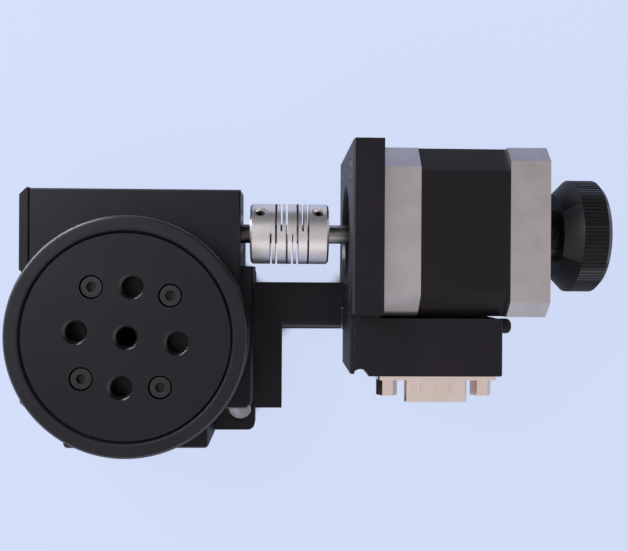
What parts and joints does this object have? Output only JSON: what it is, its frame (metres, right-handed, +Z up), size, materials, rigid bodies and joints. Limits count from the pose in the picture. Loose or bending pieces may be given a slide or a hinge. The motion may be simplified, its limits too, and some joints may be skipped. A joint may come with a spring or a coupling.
{
  "type": "motorised rotation stage",
  "caption": "Compact motor-driven rotation stage: a worm-driven round table in a square housing, with a stepping motor on a side bracket, a flexible coupling and a hand knob.",
  "frame": {"origin": "on the table's axis, at the underside of the base plate", "axes": "+Z up along the table's axis; +X parallel to the worm, towards the motor; +Y from the table's axis to the worm"},
  "size_m": [0.1531, 0.0789, 0.047],
  "materials": {
    "black_anodised": "fine satin anodised",
    "black_screw": "black oxide",
    "bright_steel": "ground",
    "bearing_steel": "polished",
    "blasted_silver": "bead blasted, clear anodised",
    "motor_cap_metal": "die cast, matt",
    "motor_stack_black": "satin",
    "rotor_steel": "turned",
    "copper_winding": "enamelled",
    "bronze": "machined",
    "nickel": "nickel plated",
    "gold": "gold plated",
    "black_plastic": "moulded",
    "gasket_rubber": "matt"
  },
  "bodies": {
    "base": {"base_plate": "black_anodised", "body_housing": "black_anodised", "base_screws": "black_screw", "worm_cover_gasket": "gasket_rubber", "worm_end_cover": "black_anodised", "worm_cover_screws": "black_screw", "table_bearing_outer_ring": "bearing_steel", "bearing_retainer_ring": "bright_steel", "retainer_screws": "black_screw", "worm_bearing_outer_rings": "bearing_steel", "worm_bearing_nut": "bright_steel", "home_sensor": "black_plastic", "motor_bracket": "black_anodised", "bracket_screws": "black_screw", "motor_plate": "black_anodised", "motor_plate_screw": "black_screw", "motor_plate_dowel": "bright_steel", "motor_mount_screws": "black_screw", "motor_front_cap": "motor_cap_metal", "motor_stator": "motor_stack_black", "stator_coils": "copper_winding", "motor_rear_cap": "motor_cap_metal", "motor_case_screws": "bright_steel", "motor_bearing_outer_rings": "bearing_steel", "connector_housing": "black_anodised", "connector_end_cover": "black_anodised", "connector_housing_screws": "black_screw", "connector_shell": "nickel", "connector_insulator": "black_plastic", "connector_pins": "gold", "connector_jackscrews": "nickel", "lead_grommet": "black_plastic"},
    "table": {"table_plate": "black_anodised", "scale_ring": "black_anodised", "table_screws": "black_screw", "spindle": "bright_steel", "worm_wheel": "bronze", "wheel_screws": "black_screw", "home_flag": "bright_steel", "table_bearing_inner_ring": "bearing_steel"},
    "rollers": {"bearing_rollers": "bearing_steel"},
    "drive": {"worm_shaft": "bright_steel", "worm_bearing_inner_rings": "bearing_steel", "flexible_coupling": "blasted_silver", "coupling_set_screws": "black_screw", "motor_shaft": "bright_steel", "motor_rotor": "rotor_steel", "motor_bearing_inner_rings": "bearing_steel", "hand_knob": "black_anodised", "knob_set_screw": "black_screw"}
  },
  "joints": [
    {"name": "table_turn", "type": "hinge", "parent": "base", "child": "table", "pos_m": [0, 0, 0], "axis": [0, 0, 1], "continuous": true},
    {"name": "roller_turn", "type": "hinge", "parent": "base", "child": "rollers", "pos_m": [0, 0, 0], "axis": [0, 0, 1], "continuous": true},
    {"name": "drive_turn", "type": "hinge", "parent": "base", "child": "drive", "pos_m": [0, 0.0265, 0.022], "axis": [1, 0, 0], "continuous": true}
  ],
  "couplings": [
    {"joint": "roller_turn", "follows": "table_turn", "ratio": 0.47},
    {"joint": "drive_turn", "follows": "table_turn", "ratio": 90}
  ]
}
